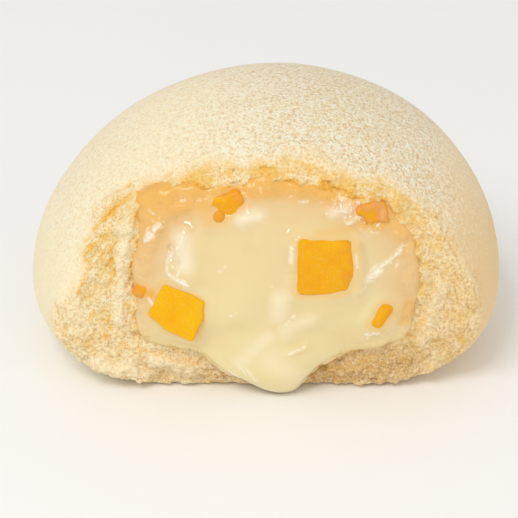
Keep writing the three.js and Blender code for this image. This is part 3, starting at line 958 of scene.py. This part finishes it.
def custard_material():
    """Custard: a thick wet cream that light sinks into, paler low down where it is thick, and peach where
    fruit and wet crumb show through its film, with painted shade under the top lip and painted highlights."""
    made, tree, surface, place = start_material("custard")
    height = add_node(tree, "ShaderNodeSeparateXYZ", {"Vector": place}).outputs["Z"]
    near_fruit, film, wet_edge, wrinkled, painted_sheen, painted_glints, glowing, open_cream = [
        add_node(tree, "ShaderNodeAttribute", attribute_name=name).outputs["Fac"]
        for name in ("near_fruit", "film", "wet_edge", "wrinkled", "painted_sheen", "painted_glints", "glowing", "open")
    ]

    # The cream: pale low down, warmer above, peach in its film, and amber with juice at the top and by fruit;
    # the amber at the top, under the lip, is partly painted shade.
    up = add_node(
        tree, "ShaderNodeMapRange", {"Value": height, "From Min": 6 * MM, "From Max": 32 * MM}
    ).outputs["Result"]
    clouds = add_node(
        tree, "ShaderNodeTexNoise", {"Vector": place, "Scale": 110, "Detail": 2}
    ).outputs["Fac"]
    up = add_node(tree, "ShaderNodeMath", {0: clouds, 1: 0.5, 2: up}, operation="MULTIPLY_ADD").outputs[0]
    up = add_node(
        tree, "ShaderNodeMapRange", {"Value": up, "From Min": 0.2, "From Max": 1.25}
    ).outputs["Result"]
    cream = add_node(
        tree, "ShaderNodeMix", {0: up, 6: linear(CUSTARD_PALE), 7: linear(CUSTARD_WARM)}, data_type="RGBA"
    ).outputs[2]
    thin = add_node(
        tree, "ShaderNodeMapRange", {"Value": height, "From Min": 7 * MM, "From Max": 17 * MM}
    ).outputs["Result"]
    film = add_node(tree, "ShaderNodeMath", {0: thin, 1: film}, operation="MULTIPLY").outputs[0]
    cream = add_node(
        tree, "ShaderNodeMix", {0: film, 6: cream, 7: linear(CUSTARD_PEACH)}, data_type="RGBA"
    ).outputs[2]
    # Amber along the top near the crumb: partly juice, partly painted shade under the lip.
    top = add_node(
        tree, "ShaderNodeMapRange",
        {"Value": height, "From Min": 20 * MM, "From Max": 33 * MM, "To Min": 0.15, "To Max": 0.78},
    ).outputs["Result"]
    top = add_node(tree, "ShaderNodeMath", {0: top, 1: wet_edge}, operation="MULTIPLY").outputs[0]
    amber_juice_and_shade = add_node(tree, "ShaderNodeMath", {0: near_fruit, 1: 0.35}, operation="MULTIPLY").outputs[0]
    for other in (top, glowing):
        amber_juice_and_shade = add_node(tree, "ShaderNodeMath", {0: amber_juice_and_shade, 1: other}, operation="MAXIMUM").outputs[0]
    cream = add_node(
        tree, "ShaderNodeMix", {0: amber_juice_and_shade, 6: cream, 7: linear(CUSTARD_AMBER)}, data_type="RGBA"
    ).outputs[2]

    # Painted highlights: white threads about 1.3 mm apart where its film has wrinkled, white streaks, and pale
    # patches.
    wrinkles = add_node(
        tree, "ShaderNodeTexNoise", {"Vector": place, "Scale": 750, "Detail": 2, "Distortion": 1.5}
    ).outputs["Fac"]
    wrinkle_glints = add_node(
        tree, "ShaderNodeMapRange", {"Value": wrinkles, "From Min": 0.56, "From Max": 0.66}
    ).outputs["Result"]
    wrinkle_glints = add_node(tree, "ShaderNodeMath", {0: wrinkle_glints, 1: wrinkled}, operation="MULTIPLY").outputs[0]
    broken = add_node(
        tree, "ShaderNodeMapRange", {"Value": wrinkles, "From Min": 0.36, "From Max": 0.56, "To Min": 0.15}
    ).outputs["Result"]
    painted_glints = add_node(tree, "ShaderNodeMath", {0: painted_glints, 1: broken}, operation="MULTIPLY").outputs[0]
    # Painted highlights, all together.
    whiter = painted_sheen
    for other in (painted_glints, wrinkle_glints):
        whiter = add_node(tree, "ShaderNodeMath", {0: whiter, 1: other}, operation="MAXIMUM").outputs[0]
    cream = add_node(
        tree, "ShaderNodeMix", {0: whiter, 6: cream, 7: linear(CUSTARD_HIGHLIGHT)}, data_type="RGBA"
    ).outputs[2]
    tree.links.new(cream, surface.inputs["Base Color"])

    # Its gloss is wettest in the open, away from fruit and crumb, and light sinks in deepest there.
    gloss = add_node(
        tree, "ShaderNodeMapRange",
        {"Value": clouds, "From Min": 0.3, "From Max": 0.7, "To Min": 0.08, "To Max": 0.2},
    ).outputs["Result"]
    closed = add_node(tree, "ShaderNodeMath", {0: 1, 1: open_cream}, operation="SUBTRACT").outputs[0]
    gloss = add_node(
        tree, "ShaderNodeMath", {0: closed, 1: 0.12, 2: gloss}, operation="MULTIPLY_ADD"
    ).outputs[0]
    tree.links.new(gloss, surface.inputs["Roughness"])
    coat = add_node(
        tree, "ShaderNodeMath", {0: open_cream, 1: 0.3, 2: 0.5}, operation="MULTIPLY_ADD"
    ).outputs[0]
    tree.links.new(coat, surface.inputs["Coat Weight"])
    depth = add_node(tree, "ShaderNodeMath", {0: open_cream, 1: 0.5}, operation="MULTIPLY").outputs[0]
    tree.links.new(depth, surface.inputs["Subsurface Weight"])

    # Its skin is faintly uneven all over, and creased where it has wrinkled or meets the crumb.
    skin = add_node(tree, "ShaderNodeTexNoise", {"Vector": place, "Scale": 500, "Detail": 2}).outputs["Fac"]
    skin_bump = add_node(
        tree, "ShaderNodeBump", {"Height": skin, "Strength": 0.15, "Distance": 0.4 * MM}
    ).outputs["Normal"]
    uneven = add_node(tree, "ShaderNodeMath", {0: wet_edge, 1: 0.45}, operation="MULTIPLY").outputs[0]
    uneven = add_node(tree, "ShaderNodeMath", {0: wrinkled, 1: uneven}, operation="MAXIMUM").outputs[0]
    bump = add_node(
        tree, "ShaderNodeBump",
        {"Height": wrinkles, "Strength": uneven, "Distance": 0.5 * MM, "Normal": skin_bump},
    )
    tree.links.new(bump.outputs["Normal"], surface.inputs["Normal"])
    surface.inputs["IOR"].default_value = 1.4
    surface.inputs["Coat Roughness"].default_value = 0.05
    surface.inputs["Subsurface Radius"].default_value = (1.0, 0.85, 0.6)
    surface.inputs["Subsurface Scale"].default_value = 2 * MM
    return made


def fruit_material():
    """Ripe fruit flesh: wet and smooth, bright yellow with orange depths and fine threads, deeper and then
    paler where custard films it."""
    made, tree, surface, place = start_material("ripe fruit flesh")
    depths = add_node(tree, "ShaderNodeTexNoise", {"Vector": place, "Scale": 330, "Detail": 4}).outputs["Fac"]
    depths = add_node(
        tree, "ShaderNodeMapRange", {"Value": depths, "From Min": 0.3, "From Max": 0.75, "To Max": 0.6}
    ).outputs["Result"]
    flesh = add_node(
        tree, "ShaderNodeMix", {0: depths, 6: linear(FRUIT_YELLOW), 7: linear(FRUIT_ORANGE)}, data_type="RGBA"
    ).outputs[2]
    specks = add_node(
        tree, "ShaderNodeTexNoise", {"Vector": place, "Scale": 3200, "Detail": 1}
    ).outputs["Fac"]
    specks = add_node(
        tree, "ShaderNodeMapRange", {"Value": specks, "From Min": 0.5, "From Max": 0.8, "To Max": 0.13}
    ).outputs["Result"]
    filmed = add_node(tree, "ShaderNodeAttribute", attribute_name="filmed").outputs["Fac"]
    fleck = add_node(tree, "ShaderNodeMath", {0: filmed, 1: 2.5, 2: 1}, operation="MULTIPLY_ADD").outputs[0]
    specks = add_node(tree, "ShaderNodeMath", {0: specks, 1: fleck}, operation="MULTIPLY").outputs[0]
    steeped = add_node(tree, "ShaderNodeMapRange", {"Value": filmed, "From Max": 0.6}).outputs["Result"]
    covered = add_node(
        tree, "ShaderNodeMapRange", {"Value": filmed, "From Min": 0.3, "From Max": 1.1}
    ).outputs["Result"]
    for share, colour in ((specks, CUSTARD_WARM), (steeped, FRUIT_DEEP), (covered, CUSTARD_PEACH)):
        flesh = add_node(
            tree, "ShaderNodeMix", {0: share, 6: flesh, 7: linear(colour)}, data_type="RGBA"
        ).outputs[2]
    tree.links.new(flesh, surface.inputs["Base Color"])
    threads = add_node(
        tree, "ShaderNodeTexNoise", {"Vector": place, "Scale": 1300, "Detail": 2}
    ).outputs["Fac"]
    bump = add_node(tree, "ShaderNodeBump", {"Height": threads, "Strength": 0.3, "Distance": 0.2 * MM})
    tree.links.new(bump.outputs["Normal"], surface.inputs["Normal"])
    surface.inputs["Roughness"].default_value = 0.22
    surface.inputs["IOR"].default_value = 1.37
    surface.inputs["Specular IOR Level"].default_value = 0.25
    surface.inputs["Subsurface Weight"].default_value = 0.15
    surface.inputs["Subsurface Radius"].default_value = (1.0, 0.6, 0.1)
    surface.inputs["Subsurface Scale"].default_value = 0.8 * MM
    return made


def set_camera():
    """The photograph's view: from 450 mm, 30 degrees up, with the cake a little low in the frame."""
    data = bpy.data.cameras.new("camera")
    data.sensor_width = 36
    data.lens = CAMERA_LENS
    camera = bpy.data.objects.new("camera", data)
    bpy.context.scene.collection.objects.link(camera)
    camera.location = Vector(CAMERA_PLACE) * MM
    aim = Vector(CAMERA_AIM) * MM
    camera.rotation_euler = (aim - camera.location).to_track_quat("-Z", "Y").to_euler()
    bpy.context.scene.camera = camera


def hang_lamp(name, place, aim, size, power, colour):
    """A round soft lamp, turned towards a point."""
    data = bpy.data.lights.new(name, "AREA")
    data.shape = "DISK"
    data.size = size
    data.energy = power
    data.color = linear(colour)[:3]
    lamp = bpy.data.objects.new(name, data)
    bpy.context.scene.collection.objects.link(lamp)
    lamp.location = place
    lamp.rotation_euler = (Vector(aim) - Vector(place)).to_track_quat("-Z", "Y").to_euler()


def set_studio():
    """A pale floor, a white sky and the lamps."""
    deselect()
    bpy.ops.mesh.primitive_plane_add(size=6)
    floor = settle("floor")
    paint = bpy.data.materials.new("pale floor")
    paint.use_nodes = True
    surface = paint.node_tree.nodes["Principled BSDF"]
    surface.inputs["Base Color"].default_value = linear(FLOOR_PALE)
    surface.inputs["Roughness"].default_value = 0.6
    floor.data.materials.append(paint)
    world = bpy.data.worlds.new("studio")
    bpy.context.scene.world = world
    world.use_nodes = True
    sky = world.node_tree.nodes["Background"]
    sky.inputs["Color"].default_value = linear(SKY_WHITE)
    sky.inputs["Strength"].default_value = SKY_STRENGTH
    for name, settings in LAMPS.items():
        hang_lamp(name, *settings)
    bpy.context.scene.view_settings.view_transform = "Standard"


set_camera()
set_studio()
custard = model_custard()
sponge = model_sponge(custard)
fold_custard(custard)
dice = model_fruit(custard)
mark_custard(custard, dice, sponge)

sponge.data.materials.append(sponge_material())
custard.data.materials.append(custard_material())
flesh = fruit_material()
for name, piece in dice.items():
    piece.data.materials.append(flesh)
    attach(piece, "root")
    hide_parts(name)
for piece, node, slot in ((sponge, "sponge", "crumb"), (custard, "custard", "custard")):
    deselect()
    piece.select_set(True)
    bpy.context.view_layer.objects.active = piece
    bpy.ops.object.shade_smooth()
    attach(piece, "root")
    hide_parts(node)
